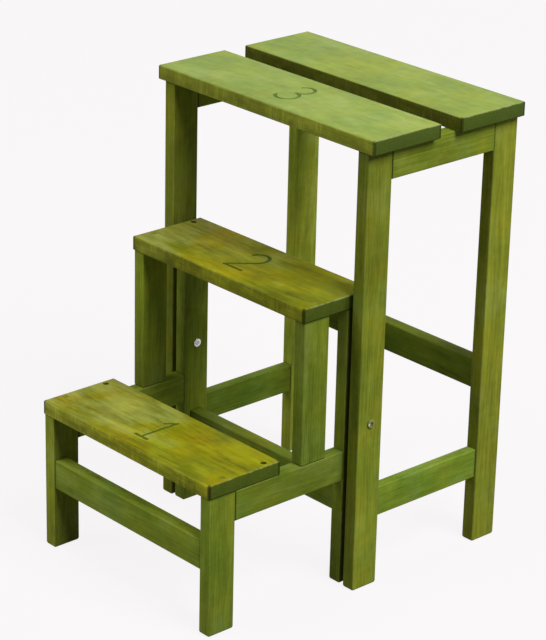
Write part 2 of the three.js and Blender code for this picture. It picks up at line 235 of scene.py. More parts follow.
# For each axis that the grain may run along: that axis, and the two across it
ALONG = {"x": (0, 1, 2), "y": (1, 0, 2), "z": (2, 0, 1)}
RING_SPACING = 0.0032
# How far from a piece its tree's pith ran at most, about; the least share of that, and what a name may
# add; the step along the grain from one name's figure to the next; and the range of a small shift
PITH_REACH = 0.05
PITH_LEAST = 0.7
PITH_SPREAD = 0.6
PITH_STEP = 0.37
PITH_SHIFT = 0.01

LEGS = [f"{leg}_{side}" for side in SIDES
        for leg in ("frame_leg_front", "frame_leg_rear", "step_leg_front", "step_leg_rear", "step_post")]
SIDE_RAILS = [f"{rail}_{side}" for side in SIDES
              for rail in ("seat_apron", "frame_side_rail", "step_side_rail")]
CROSS_RAILS = ["frame_rear_rail", "step_front_stretcher", "step_rear_rail", "step_upper_apron"]
BOARDS = ["seat_board_front", "seat_board_rear", "step_board_lower", "step_board_upper"]
NUMERALS = {"seat_board_front": 3, "step_board_lower": 1, "step_board_upper": 2}

# How strongly each piece took the stain, with light and shade painted on it: brightness, which also
# paints the light or shadow that falls on the piece; share of green over olive; how much of that
# brightness is left on the two faces across its second axis, which is X on legs and side rails and
# Y on the rest, painted shade on the faces that the light misses; and how much brighter the upper or
# far end is than the middle, a painted fall of light along the piece
STAIN_AND_LIGHT_SHARES = {
    "seat_board_front": (0.99, 0.35, 1.02, 0.04),
    "seat_board_rear": (0.97, 0.25, 0.35, 0),
    "step_board_lower": (1, 0.14, 1.42, -0.02),
    "step_board_upper": (0.94, 0.12, 1.04, -0.07),
    "frame_leg_front_right": (1, 0.2, 0.97, -0.24),
    "frame_leg_rear_right": (0.82, 0, 1.26, -0.08),
    "frame_leg_front_left": (1, 0.1, 0.68, 0.1),
    "frame_leg_rear_left": (1.5, 0.05, 1.04, 0),
    "step_leg_front_right": (1.42, 0.5, 0.63, 0),
    "step_leg_front_left": (1.6, 0.05, 0.54, 0),
    "step_leg_rear_left": (1.06, 0.3, 1, 0),
    "step_leg_rear_right": (0.95, 0.3, 0.4, 0),
    "step_post_right": (0.96, 0.45, 0.88, 0),
    "step_post_left": (1.3, 0.3, 0.78, 0.25),
    "seat_apron_right": (0.99, 0.4, 1, 0),
    "frame_side_rail_right": (1.17, 0.7, 1, 0),
    "frame_side_rail_left": (1, 0.7, 1, 0),
    "step_side_rail_right": (0.81, 0.5, 1, 0),
    "step_front_stretcher": (1.44, 0.5, 1, 0),
    "frame_rear_rail": (0.78, 0.5, 1, 0),
}
PLAIN_STAIN_AND_LIGHT_SHARES = (0.98, 0.4, 1.0, 0.0)


def chosen(group):
    """The values that are set in one of the property groups."""
    return getattr(bpy.context.scene, f"stool_{group}")


def box_middle(node):
    low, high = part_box(node)
    return (low + high) / 2


def grain_axis(node):
    """The axis that the node is longest along."""
    low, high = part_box(node)
    spans = high - low
    return "xyz"[max(range(3), key=lambda i: spans[i])]


def block(low, high):
    """A closed box between two corners."""
    bm = bmesh.new()
    bmesh.ops.create_cube(bm, size=1.0)
    bmesh.ops.scale(bm, vec=high - low, verts=bm.verts)
    return moved(bm, Matrix.Translation((low + high) / 2))


def rod(radius, length, sides):
    """An upright prism or cylinder round the origin."""
    bm = bmesh.new()
    bmesh.ops.create_cone(bm, cap_ends=True, segments=sides, radius1=radius, radius2=radius, depth=length)
    return bm


def hex_prism(radius, low, high):
    """An upright hexagonal prism for a socket."""
    return moved(rod(radius, high - low, 6), Matrix.Translation((0, 0, (low + high) / 2)))


def moved(bm, matrix):
    bmesh.ops.transform(bm, matrix=matrix, verts=bm.verts)
    return bm


def turned(profile, sides):
    """A round solid from [radius, height] pairs that start and end on the axis, or close on themselves."""
    bm = bmesh.new()
    verts = [bm.verts.new((radius, 0, height)) for radius, height in profile]
    edges = [bm.edges.new(pair) for pair in zip(verts, verts[1:])]
    bmesh.ops.spin(
        bm, geom=verts + edges, cent=(0, 0, 0), axis=(0, 0, 1), angle=FULL_TURN, steps=sides, use_merge=True)
    bmesh.ops.remove_doubles(bm, verts=bm.verts, dist=TURNED_MERGE)
    bmesh.ops.recalc_face_normals(bm, faces=bm.faces)
    return bm


def rounded_rim(radius, height, rim, sign=1):
    """Profile points of a head's eased rim, from its side to its face, which looks down where sign is -1."""
    points = []
    for step in range(RIM_STEPS + 1):
        angle = QUARTER_TURN * step / RIM_STEPS
        points.append((radius - rim * (1 - math.cos(angle)), height - sign * rim * (1 - math.sin(angle))))
    return points


def rounding(node, edge, low, high, ease_ends):
    """Radius of one edge of a bar: the rim of a board and the foot of a leg are the roundest."""
    timber = chosen("timber")
    along = ALONG[grain_axis(node)][0]
    first, last = (vert.co for vert in edge.verts)
    if not ease_ends and abs((first - last)[along]) < timber.foot_radius:
        return 0
    if "_board_" in node:
        return timber.board_radius if min(first.z, last.z) > (low.z + high.z) / 2 else timber.corner_radius
    stands = low.z < timber.foot_radius
    return timber.foot_radius if stands and max(first.z, last.z) < timber.foot_radius else timber.edge_radius


def eased_bar(name, node, low, high, ease_ends):
    """A bar of timber with its long edges rounded, and its ends too where they show."""
    timber = chosen("timber")
    widest = max(timber.board_radius, timber.foot_radius)
    bm = block(low, high)
    shares = bm.edges.layers.float.new("bevel_weight_edge")
    for edge in bm.edges:
        edge[shares] = rounding(node, edge, low, high, ease_ends) / widest
    piece = object_from(name, bm)
    bevel = piece.modifiers.new("eased_edges", "BEVEL")
    bevel.affect = "EDGES"
    bevel.limit_method = "WEIGHT"
    bevel.offset_type = "OFFSET"
    bevel.width = widest
    bevel.segments = timber.edge_segments
    bevel.profile = 0.5
    settle(piece)
    return piece


def object_from(name, bm):
    mesh = bpy.data.meshes.new(name)
    bm.to_mesh(mesh)
    bm.free()
    made = bpy.data.objects.new(name, mesh)
    bpy.context.scene.collection.objects.link(made)
    return made


def settle(piece):
    """Makes what the piece's modifiers show its own mesh."""
    bpy.context.view_layer.update()
    view = bpy.context.evaluated_depsgraph_get()
    mesh = bpy.data.meshes.new_from_object(piece.evaluated_get(view), depsgraph=view)
    piece.modifiers.clear()
    bare = piece.data
    piece.data = mesh
    bpy.data.meshes.remove(bare)


def carve(target, tools, operation="DIFFERENCE"):
    """Cuts or joins all the tools in one step, so that no rounding comes between them, and drops them."""
    rack = bpy.data.collections.new(f"{target.name}_tools")
    for tool in tools:
        rack.objects.link(object_from(f"{target.name}_tool", tool))
    modifier = target.modifiers.new("cut", "BOOLEAN")
    modifier.operation = operation
    modifier.solver = "EXACT"
    modifier.operand_type = "COLLECTION"
    modifier.collection = rack
    settle(target)
    for cutter in list(rack.objects):
        shape = cutter.data
        bpy.data.objects.remove(cutter)
        bpy.data.meshes.remove(shape)
    bpy.data.collections.remove(rack)


def smooth_by_angle(piece):
    """Shades smooth across gentle edges and keeps sharp ones crisp."""
    bm = bmesh.new()
    bm.from_mesh(piece.data)
    for face in bm.faces:
        face.smooth = True
    for edge in bm.edges:
        edge.smooth = edge.is_manifold and edge.calc_face_angle(0) < SMOOTH_LIMIT
    bm.to_mesh(piece.data)
    bm.free()


def place_piece(piece, node, material):
    """Gives a finished piece its material and lets it stand for its CAD node."""
    piece.data.materials.clear()
    piece.data.materials.append(material)
    smooth_by_angle(piece)
    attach(piece, BODY_OF[node])
    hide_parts(node)


# Cuts and joints


def screw_place(node):
    """From upright at the origin to where a screw is: head up in a step, head down under the seat."""
    low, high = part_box(node)
    middle = box_middle(node)
    if node.startswith("seat_screw"):
        return Matrix.Translation((middle.x, middle.y, low.z)) @ Matrix.Rotation(math.pi, 4, "X")
    return Matrix.Translation((middle.x, middle.y, high.z))


def screw_bore(node):
    """The stepped hole of a screw, open on the side of its head."""
    timber = chosen("timber")
    hardware = chosen("hardware")
    low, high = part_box(node)
    head_radius = (high.x - low.x) / 2 + timber.clearance
    shank_radius = hardware.screw_shank_radius + timber.clearance
    seat = hardware.screw_head_height
    span = high.z - low.z
    profile = [
        (0, SCREW_OPENING),
        (head_radius, SCREW_OPENING),
        (head_radius, -seat),
        (shank_radius, -seat),
        (shank_radius, -span - timber.clearance),
        (0, -span - timber.clearance),
    ]
    return moved(turned(profile, SMALL_SIDES), screw_place(node))


def dowel_bore(node):
    """A round hole with room for a dowel."""
    room = chosen("timber").clearance
    low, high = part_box(node)
    spans = high - low
    axis = grain_axis(node)
    along, across, _ = ALONG[axis]
    hole = rod(spans[across] / 2 + room, spans[along] + 2 * room, SMALL_SIDES)
    turn = Matrix.Rotation(QUARTER_TURN, 4, "Y") if axis == "x" else Matrix.Identity(4)
    return moved(hole, Matrix.Translation(box_middle(node)) @ turn)


def pivot_bore(leg):
    """The hole for the pivot's shank through one leg."""
    timber = chosen("timber")
    hardware = chosen("hardware")
    low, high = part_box(leg)
    side = leg.rsplit("_", 1)[1]
    middle = box_middle(f"pivot_bolt_{side}")
    room = timber.clearance if leg.startswith("frame") else hardware.running_clearance
    length = high.x - low.x + 2 * timber.overrun
    hole = rod(hardware.bolt_shank_radius + room, length, hardware.round_sides)
    place = Matrix.Translation(((low.x + high.x) / 2, middle.y, middle.z))
    return moved(hole, place @ Matrix.Rotation(QUARTER_TURN, 4, "Y"))


def rail_ends(rail):
    """The legs that a side rail runs between, front one first."""
    side = rail.rsplit("_", 1)[1]
    family = "step" if rail.startswith("step") else "frame"
    return f"{family}_leg_front_{side}", f"{family}_leg_rear_{side}"


def tenon_box(rail, room):
    """Corners of the bar that makes both tenons of a side rail, with room around it."""
    timber = chosen("timber")
    low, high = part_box(rail)
    middle_x = (low.x + high.x) / 2
    half = timber.tenon_thickness / 2
    bottom = low.z + timber.tenon_rise
    top = bottom + timber.tenon_height
    return (
        Vector((middle_x - half - room, low.y - room, bottom - room)),
        Vector((middle_x + half + room, high.y + room, top + room)),
    )


def mortises(leg):
    """The pockets in a leg for the tenons of its side rails."""
    room = chosen("timber").clearance
    return [block(*tenon_box(rail, room)) for rail in SIDE_RAILS if leg in rail_ends(rail)]


def meets(node, other):
    """Whether the boxes of two nodes reach into each other."""
    low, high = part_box(node)
    other_low, other_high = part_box(other)
    return all(other_low[i] < high[i] and other_high[i] > low[i] for i in range(3))


def fitting_bores(node):
    """The holes in a wooden piece for its screws and dowels."""
    screws = [name for name in BODY_OF if "_screw_" in name and meets(node, name)]
    dowels = [name for name in BODY_OF if "_dowel_" in name and meets(node, name)]
    return [screw_bore(name) for name in screws] + [dowel_bore(name) for name in dowels]


# Timber


def pith_place(node, top):
    """Where the tree's pith ran past a piece, set by its name so that no two show the same figure."""
    number = sum(ord(letter) * index for index, letter in enumerate(node, start=1))
    angle = math.radians(number % 360)
    reach = PITH_REACH * (PITH_LEAST + PITH_SPREAD * (number % 7) / 6)
    return (
        PITH_STEP * (number % 29),
        reach * math.sin(angle),
        -reach * abs(math.cos(angle)) - top % PITH_SHIFT,
    )


def mark_timber(piece, low, high, node):
    """Writes what the wood material reads: place in the timber, its half size, its pith and its stain, with
    its painted light and shade.
    """
    order = ALONG[grain_axis(node)]
    middle = (low + high) / 2
    half = (high - low) / 2
    mesh = piece.data
    vertex_count = len(mesh.vertices)
    places = [vertex.co[i] - middle[i] for vertex in mesh.vertices for i in order]
    # The brightness, side and rise shares paint light and shade onto the piece
    brightness, green, side, rise = STAIN_AND_LIGHT_SHARES.get(node, PLAIN_STAIN_AND_LIGHT_SHARES)
    stain = []
    for along in places[::3]:
        stain += [brightness * (1 + rise * (along / half[order[0]])), green, side]
    values = {
        "timber_place": places,
        "timber_half": [half[i] for i in order] * vertex_count,
        "timber_pith": pith_place(node, high[order[2]]) * vertex_count,
        "timber_stain": stain,
    }
    for name, numbers in values.items():
        layer = mesh.attributes.new(name, "FLOAT_VECTOR", "POINT")
        layer.data.foreach_set("vector", numbers)


def timber_piece(node, low, high, ease_ends, cuts, joins=()):
    """A wooden piece with its tenons joined on and its holes cut, marked for the wood material."""
    piece = eased_bar(f"{node}_timber", node, low, high, ease_ends)
    if joins:
        carve(piece, joins, "UNION")
    if cuts:
        carve(piece, cuts)
    mark_timber(piece, low, high, node)
    place_piece(piece, node, made_once(f"stained_{SLOT_OF[node]}", WoodShader))


# Numerals


def arc(centre, radii, start, end):
    """Points on an arc, angles in degrees, anticlockwise from the right."""
    points = []
    for step in range(ARC_STEPS + 1):
        angle = math.radians(start + (end - start) * step / ARC_STEPS)
        points.append((centre[0] + radii[0] * math.cos(angle), centre[1] + radii[1] * math.sin(angle)))
    return points


def numeral_shares(digit):
    """Strokes of a plain numeral as shares of its height, with its foot at zero."""
    if digit == 1:
        return [[(-0.17, 0.8), (0, 1)], [(0, 1), (0, 0)], [(-0.19, 0), (0.19, 0)]]
    if digit == 2:
        bowl = arc((0, 0.72), (0.25, 0.28), 160, -38)
        return [bowl + [(-0.27, 0)], [(-0.27, 0), (0.28, 0)]]
    upper = arc((-0.01, 0.76), (0.22, 0.24), 150, -90)
    lower = arc((-0.01, 0.26), (0.26, 0.26), 90, -155)
    return [upper, lower]


def groove_tool(points, carving, height):
    """A tube along a stroke at that height, whose underside cuts the groove."""
    curve = bpy.data.curves.new("groove_path", "CURVE")
    curve.dimensions = "3D"
    curve.bevel_depth = carving.cutter_radius
    curve.bevel_resolution = GROOVE_STEPS
    curve.use_fill_caps = True
    spline = curve.splines.new("POLY")
    spline.points.add(len(points) - 1)
    for point, (x, y) in zip(spline.points, points):
        point.co = (x, y, height, 1)
    path = bpy.data.objects.new("groove_path", curve)
    bpy.context.scene.collection.objects.link(path)
    bpy.context.view_layer.update()
    mesh = bpy.data.meshes.new_from_object(path)
    bpy.data.objects.remove(path)
    tube = bmesh.new()
    tube.from_mesh(mesh)
    bpy.data.meshes.remove(mesh)
    bmesh.ops.remove_doubles(tube, verts=tube.verts, dist=TUBE_MERGE)
    bmesh.ops.recalc_face_normals(tube, faces=tube.faces)
    return tube


def cutter_tip(x, y, carving, height):
    """The round nose of the cutter where a stroke starts or ends."""
    bm = bmesh.new()
    bmesh.ops.create_uvsphere(
        bm, u_segments=TIP_SEGMENTS, v_segments=TIP_RINGS, radius=carving.tip_radius)
    return moved(bm, Matrix.Translation((x, y, height)) @ Matrix.Rotation(carving.tip_turn, 4, "Z"))


def numeral_tools(node, digit):
    """The tubes and round ends that cut a numeral into the middle of a board's top."""
    carving = chosen("carving")
    middle = box_middle(node)
    foot = middle.y - carving.numeral_height / 2
    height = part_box(node)[1].z + carving.cutter_radius - carving.depth
    strokes = [
        [(middle.x + x * carving.numeral_height, foot + y * carving.numeral_height) for x, y in stroke]
        for stroke in numeral_shares(digit)
    ]
    ends = [end for stroke in strokes for end in (stroke[0], stroke[-1])]
    tips = {(round(x, TIP_DIGITS), round(y, TIP_DIGITS)) for x, y in ends}
    tools = [groove_tool(stroke, carving, height) for stroke in strokes]
    return tools + [cutter_tip(x, y, carving, height) for x, y in sorted(tips)]


# Materials


def made_once(name, build):
    """The material of that name, built the first time that a piece asks for it."""
    return bpy.data.materials.get(name) or build(name).owner


def hue(name, tone=1.0):
    """One of the stool's colours, made darker or paler by the tone."""
    return tuple(tone * channel for channel in getattr(chosen("colours"), name))


class Shader:
    """Adds nodes to a material or the world, with short names for the usual ones."""

    def __init__(self, owner, bare=False):
        owner.use_nodes = True
        self.owner = owner
        self.nodes = owner.node_tree.nodes
        self.links = owner.node_tree.links
        if bare:
            self.nodes.clear()

    def node(self, kind, settings=None, **inputs):
        made = self.nodes.new(kind)
        for key, value in (settings or {}).items():
            setattr(made, key, value)
        for key, value in inputs.items():
            self.feed(made.inputs[key], value)
        return made

    def feed(self, socket, value):
        if isinstance(value, bpy.types.NodeSocket):
            self.links.new(value, socket)
        else:
            socket.default_value = value

    def object_place(self):
        return self.node("ShaderNodeTexCoord").outputs["Object"]

    def attribute(self, name):
        return self.node("ShaderNodeAttribute", {"attribute_name": name}).outputs["Vector"]

    def split(self, vector):
        return self.node("ShaderNodeSeparateXYZ", Vector=vector).outputs

    def vector(self, operation, first, second=None, output="Vector"):
        made = self.node("ShaderNodeVectorMath", {"operation": operation})
        self.feed(made.inputs[0], first)
        if second is not None:
            self.feed(made.inputs["Scale" if operation == "SCALE" else 1], second)
        return made.outputs[output]

    def math(self, operation, first, second=0.5, clamp=False):
        made = self.node("ShaderNodeMath", {"operation": operation, "use_clamp": clamp})
        self.feed(made.inputs[0], first)
        self.feed(made.inputs[1], second)
        return made.outputs[0]

    def times(self, first, second):
        return self.math("MULTIPLY", first, second)

    def most(self, first, second):
        return self.math("MAXIMUM", first, second)

    def rest(self, share):
        return self.math("SUBTRACT", 1.0, share)

    def noise(self, vector, scale, detail, roughness, stretch=None, output="Fac"):
        """Noise laid on a place, which may be stretched along its axes first."""
        if stretch:
            vector = self.vector("MULTIPLY", vector, stretch)
        made = self.node(
            "ShaderNodeTexNoise", Vector=vector, Scale=scale, Detail=detail, Roughness=roughness)
        return made.outputs[output]

    def ramp(self, value, low, high, start=0.0, end=1.0):
        """A smooth step from start to end as the value goes from low to high."""
        made = self.node("ShaderNodeMapRange", {"interpolation_type": "SMOOTHSTEP"})
        for socket, number in zip(made.inputs, (value, low, high, start, end)):
            self.feed(socket, number)
        return made.outputs[0]

    def mix(self, factor, first, second, blend="MIX"):
        """Mixes two colours, each given as three channels or as a socket."""
        made = self.node("ShaderNodeMix", {"data_type": "RGBA", "blend_type": blend}, Factor=factor)
        sockets = [socket for socket in made.inputs if socket.type == "RGBA"]
        for socket, colour in zip(sockets, (first, second)):
            self.feed(socket, (*colour, 1) if isinstance(colour, tuple) else colour)
        return next(socket for socket in made.outputs if socket.type == "RGBA")

    def surface(self, colour, rough, height, distance, strength, sockets):
        """Joins colour, roughness, bump and the further sockets to the material's own shader."""
        bump = self.node("ShaderNodeBump", Strength=strength, Distance=distance, Height=height)
        joined = {"Base Color": colour, "Roughness": rough, "Normal": bump.outputs["Normal"], **sockets}
        for name, value in joined.items():
            self.feed(self.nodes["Principled BSDF"].inputs[name], value)

    def blend(self, factor, first, second):
        """Mixes two shaders."""
        made = self.node("ShaderNodeMixShader", Fac=factor)
        self.feed(made.inputs[1], first)
        self.feed(made.inputs[2], second)
        return made.outputs[0]

    def watching_rays(self):
        """One where a camera, glossy or clear ray arrives, and zero for soft light."""
        rays = self.node("ShaderNodeLightPath").outputs
        return self.most(
            self.most(rays["Is Camera Ray"], rays["Is Glossy Ray"]), rays["Is Transmission Ray"])


# Finish of each kind of wood: its colours where the stain lies even and where it lies thick, the scale of
# its amber patches, and how strongly each trait shows. The pale places are partly faded stain and partly
# painted sheen, which the finish brings to the low end. The rubbed edges carry a painted highlight, and the
# dark corners and undersides of a board's ends and the dark ends of legs and rails are painted shade, the
# last with stain gathered in the joints.
WOOD_FINISHES = {
    "seat_wood": {
        "stain": "seat_stain", "shade": "seat_shade", "amber": 0.12, "patches": 14.0, "soak": 0.24,
        "fibres": 0.075, "streaks": 0.065, "clouds": 0.095, "rings": 0.03, "pale": 0.16, "sheen_fade": 0.0,
        "edge": 0.8, "wear_and_highlight": 0.6, "corner": 0.6, "under": 0.6, "groove": 0.65, "joint_shade_and_stain": 0.0},
    "step_wood": {
        "stain": "step_stain", "shade": "step_shade", "amber": 0.55, "patches": 9.0, "soak": 0.3,
        "fibres": 0.13, "streaks": 0.2, "clouds": 0.23, "rings": 0.07, "pale": 0.19, "sheen_fade": 0.75,
        "edge": 0.7, "wear_and_highlight": 0.6, "corner": 0.8, "under": 0.8, "groove": 0.85, "joint_shade_and_stain": 0.0},
    "frame_wood": {
        "stain": "frame_stain", "shade": "frame_shade", "amber": 0.18, "patches": 17.0, "soak": 0.16,
        "fibres": 0.14, "streaks": 0.14, "clouds": 0.12, "rings": 0.09, "pale": 0.09, "sheen_fade": 0.0,
        "edge": 0.0, "wear_and_highlight": 0.0, "corner": 0.0, "under": 0.0, "groove": 0.85, "joint_shade_and_stain": 0.55},
}
# Noises of the wood: the place that each lies on, how that is stretched or shifted first, and the noise's
# scale, detail and roughness. The scale of the patches is in the finish.
WOOD_NOISES = {
    "fibres": ("grain", "MULTIPLY", (18, 520, 520), 1, 3, 0.65),
    "streaks": ("wavy", "MULTIPLY", (5.5, 90, 90), 1, 6, 0.68),
    "figure": ("grain", "MULTIPLY", (85, 60, 60), 1, 3, 0.6),
    "ticks": ("grain", "MULTIPLY", (320, 25, 25), 1, 2, 0.6),
    "clouds": ("wavy", "MULTIPLY", (13, 30, 30), 1, 4, 0.62),
    "blotches": ("grain", "MULTIPLY", (38, 60, 60), 1, 2, 0.5),
    "patches": ("grain", "ADD", (3.1, 1.7, 0.9), None, 3, 0.55),
    "soak": ("grain", "ADD", (5.3, 2.9, 4.1), 15, 3, 0.55),
    "rubbing": ("grain", None, None, 70, 3, 0.6),
    "pores": ("place", "MULTIPLY", (60, 420, 420), 1, 3, 0.6),
}
# Smooth steps of the wood: from where to where the noise, or the distance from a face in metres, goes, and
# the values there, times what the finish says where it has the same name
WOOD_STEPS = {
    "late_wood": (0.3, 0.92, 0, 1),
    "early_wood": (0.95, 1, 1, 0),
    "amber": (0.46, 0.72, 0, 1),
    "soak": (0.34, 0.66, -1, 1),
    # Pale places: partly faded stain, partly painted sheen
    "pale": (0, 0.13, 0, 1),
    "fibres": (0.28, 0.72, -1, 1),
    "streaks": (0.3, 0.7, -1, 1),
    "clouds": (0.32, 0.68, -1, 1),
    "figure": (0.3, 0.7, -0.05, 0.05),
    "blotches": (0.35, 0.65, -0.22, 0.1),
    "tick_rows": (0.4, 0.6, 0, 1),
    "ticks": (0.36, 0.66, -0.2, 0.3),
    "pores": (0.35, 0.7, 0, 0.5),
    "rubbing": (0.38, 0.64, 0, 1),
    "roughness": (0.3, 0.7, 0.46, 0.6),
    "top_half": (-0.002, 0.002, 0, 1),
    "side_face": (0.0001, 0.0009, 1, 0),
    "end_grain": (0.0002, 0.0012, 0.92, 0),
    # Painted shade in the corners of a board's ends and under them
    "corner": (0.0025, 0.0042, 1, 0),
    "under": (0.0008, 0.002, 1, 0),
    # Painted shade at the joints, with stain gathered there too
    "joint_shade_and_stain": (0.0005, 0.003, 1, 0),
    # Rubbing with a painted highlight on the edges
    "wear_and_highlight": (0.0005, 0.0022, 1, 0),
    "long_wear": (0.0004, 0.0018, 0.2, 0),
    "groove": (0.0002, 0.0009, 0, 1),
    "groove_run": (0.003, 0.005, 0, 1),
}
# Scale, detail, roughness and stretch of the noise that makes the grain wander, its middle and its reach
DRIFT_NOISE = (1.0, 2.0, 0.5, (2.6, 9.0, 9.0))
NOISE_MIDDLE = (0.5, 0.5, 0.5)
DRIFT_REACH = 0.035
# Keeps the two axes across the grain, or across a bolt
ACROSS = (0.0, 1.0, 1.0)
# How far clouds over patches bare the wood, which also paints sheen, its mean light, the tones of its
# pores and of the painted shade in a board's corners, and how much rougher its end grain is
BARENESS_AND_SHEEN = 0.5
MEAN_LIGHT = 1.03
PORE_TONE = 0.5
CORNER_SHADE_TONE = 0.22
END_ROUGHNESS = 0.18
# Shares of fibres and rings in the relief, its depth and strength, and the wood's gloss
FIBRE_RELIEF = 0.6
RING_RELIEF = -0.5
WOOD_RELIEF = (0.00018, 0.6)
WOOD_GLOSS = {"Specular IOR Level": 0.03}


class WoodShader(Shader):
    """Stained wood: faint rings, streaks, fibres, blotches, dark end grain and rubbed edges, with painted
    light, shade and sheen.
    """

    def __init__(self, name):
        super().__init__(bpy.data.materials.new(name))
        self.finish = WOOD_FINISHES[name.removeprefix("stained_")]
        place_in_timber = self.attribute("timber_place")
        self.along, _, up = self.split(place_in_timber)
        depth = self.vector(
            "SUBTRACT", self.attribute("timber_half"), self.vector("ABSOLUTE", place_in_timber))
        self.gaps = self.split(depth)
        # The piece's stain shares, which carry its painted light and shade
        self.stain = self.split(self.attribute("timber_stain"))
        self.top_half = self.step("top_half", up)
        self.side_face = self.step("side_face", self.gaps[1])
        self.edge = self.times(self.side_face, self.finish["edge"])
        self.end = self.step("end_grain", self.gaps[0])

        grain = self.vector("ADD", place_in_timber, self.attribute("timber_pith"))
        wavy = self.wavy_grain(grain)
        self.ring = self.ring_share(wavy)
        self.noises = self.wood_noises({"place": place_in_timber, "grain": grain, "wavy": wavy})
        colour = self.mix(1.0, self.stained(), self.light(), "MULTIPLY")
        colour = self.grooved(self.worn_and_highlighted(self.darkened(colour)))
        rough = self.math(
            "ADD", self.step("roughness", self.noises["streaks"]), self.times(self.end, END_ROUGHNESS))
        relief = self.math(
            "ADD", self.times(self.noises["fibres"], FIBRE_RELIEF), self.times(self.ring, RING_RELIEF))
        self.surface(colour, rough, relief, *WOOD_RELIEF, WOOD_GLOSS)

    def step(self, name, value):
        """One of the wood's smooth steps, as strong as the finish says where it names it."""
        low, high, start, end = WOOD_STEPS[name]
        strength = self.finish.get(name, 1.0)
        return self.ramp(value, low, high, start * strength, end * strength)

    def trait(self, name):
        """The step that reads the noise of its own name."""
        return self.step(name, self.noises[name])

    def wavy_grain(self, grain):
        """The place in the timber, pushed sideways a little so that rings and streaks wander."""
        drift = self.vector("SUBTRACT", self.noise(grain, *DRIFT_NOISE, "Color"), NOISE_MIDDLE)
        return self.vector("ADD", grain, self.vector("SCALE", drift, DRIFT_REACH))

    def ring_share(self, wavy):
        """Dark late wood of the yearly rings, from the distance to the pith."""
        radius = self.vector("LENGTH", self.vector("MULTIPLY", wavy, ACROSS), output="Value")
        phase = self.math("FRACT", self.math("DIVIDE", radius, RING_SPACING))
        return self.times(self.step("late_wood", phase), self.step("early_wood", phase))

    def wood_noises(self, sources):
        made = {}
        for name, (source, how, by, scale, detail, roughness) in WOOD_NOISES.items():
            laid = self.vector(how, sources[source], by) if how else sources[source]
            made[name] = self.noise(laid, scale or self.finish[name], detail, roughness)
        return made

    def stained(self):
        """The stain: amber where it is thin, green where it is thick, pale where it has faded, which also
        paints sheen.
        """
        clouds = self.noises["clouds"]
        patches = self.noises["patches"]
        colour = self.mix(self.step("amber", patches), hue(self.finish["stain"]), hue("amber_stain"))
        thick = self.math("ADD", self.stain[1], self.trait("soak"), clamp=True)
        colour = self.mix(thick, colour, hue(self.finish["shade"]))
        # Painted sheen, partly faded stain: paler where clouds outweigh patches and towards the low end
        bareness_and_sheen = self.times(self.math("SUBTRACT", clouds, patches), BARENESS_AND_SHEEN)
        bareness_and_sheen = self.math("SUBTRACT", bareness_and_sheen, self.times(self.along, self.finish["sheen_fade"]))
        colour = self.mix(self.step("pale", bareness_and_sheen), colour, hue("worn_pale_and_highlight"))
        return self.mix(self.edge, colour, hue("board_edge"))

    def light(self):
        """How light the stain is, by its grain, by saw marks on a board's long edges and by the piece, with
        painted light and shade.
        """
        blotches = self.noises["blotches"]
        tick_rows = self.times(self.edge, self.step("tick_rows", blotches))
        light = self.trait("fibres")
        for change in (
            self.times(self.ring, -self.finish["rings"]),
            self.trait("streaks"),
            self.trait("clouds"),
            self.trait("figure"),
            self.times(self.edge, self.trait("blotches")),
            self.times(tick_rows, self.trait("ticks")),
        ):
            light = self.math("ADD", light, change)
        # Painted light and shade: the piece's brightness, and what of it is left on the side faces
        light = self.times(self.math("ADD", light, MEAN_LIGHT), self.stain[0])
        light = self.times(light, self.rest(self.times(self.side_face, self.rest(self.stain[2]))))
        return self.node("ShaderNodeCombineXYZ", X=light, Y=light, Z=light).outputs[0]

    def darkened(self, colour):
        """Dark end grain and pores, and painted shade in a board's end corners, under its ends and at rail
        joints.
        """
        gaps = self.gaps
        pores = hue("end_stain", PORE_TONE)
        colour = self.mix(self.end, colour, self.mix(self.trait("pores"), hue("end_stain"), pores))
        # Painted shade: a board's ends darken in their corners and along their underside, where shade falls
        corner = self.step("corner", self.most(gaps[0], gaps[1]))
        under = self.times(self.step("under", self.most(gaps[0], gaps[2])), self.rest(self.top_half))
        colour = self.mix(self.most(corner, under), colour, hue("end_stain", CORNER_SHADE_TONE))
        # The ends of legs and rails darken where they meet other parts: painted shade, with stain gathered in
        # the joint
        return self.mix(self.step("joint_shade_and_stain", gaps[0]), colour, pores)

    def worn_and_highlighted(self, colour):
        """Stain rubbed thin, with a painted highlight, on the upper edge of a board's ends and on every long
        edge.
        """
        gaps = self.gaps
        # Partly painted highlight: the rub shows on the upper edge of the ends only, as the lower one lies in
        # shade
        end_wear_and_highlight = self.times(self.step("wear_and_highlight", self.most(gaps[0], gaps[2])), self.top_half)
        long_wear = self.step("long_wear", self.most(gaps[1], gaps[2]))
        wear_and_highlight = self.times(self.most(end_wear_and_highlight, long_wear), self.trait("rubbing"))
        return self.mix(wear_and_highlight, colour, hue("worn_pale_and_highlight"))

    def grooved(self, colour):
        """Darker stain on what is cut in under the faces and away from the edges."""
        gaps = self.gaps
        side_least = self.math("MINIMUM", gaps[1], gaps[2])
        least = self.math("MINIMUM", gaps[0], side_least)
        second = self.most(side_least, self.math("MINIMUM", self.most(gaps[1], gaps[2]), gaps[0]))
        groove = self.times(self.step("groove", least), self.step("groove_run", second))
        return self.mix(groove, colour, hue("groove_stain"))


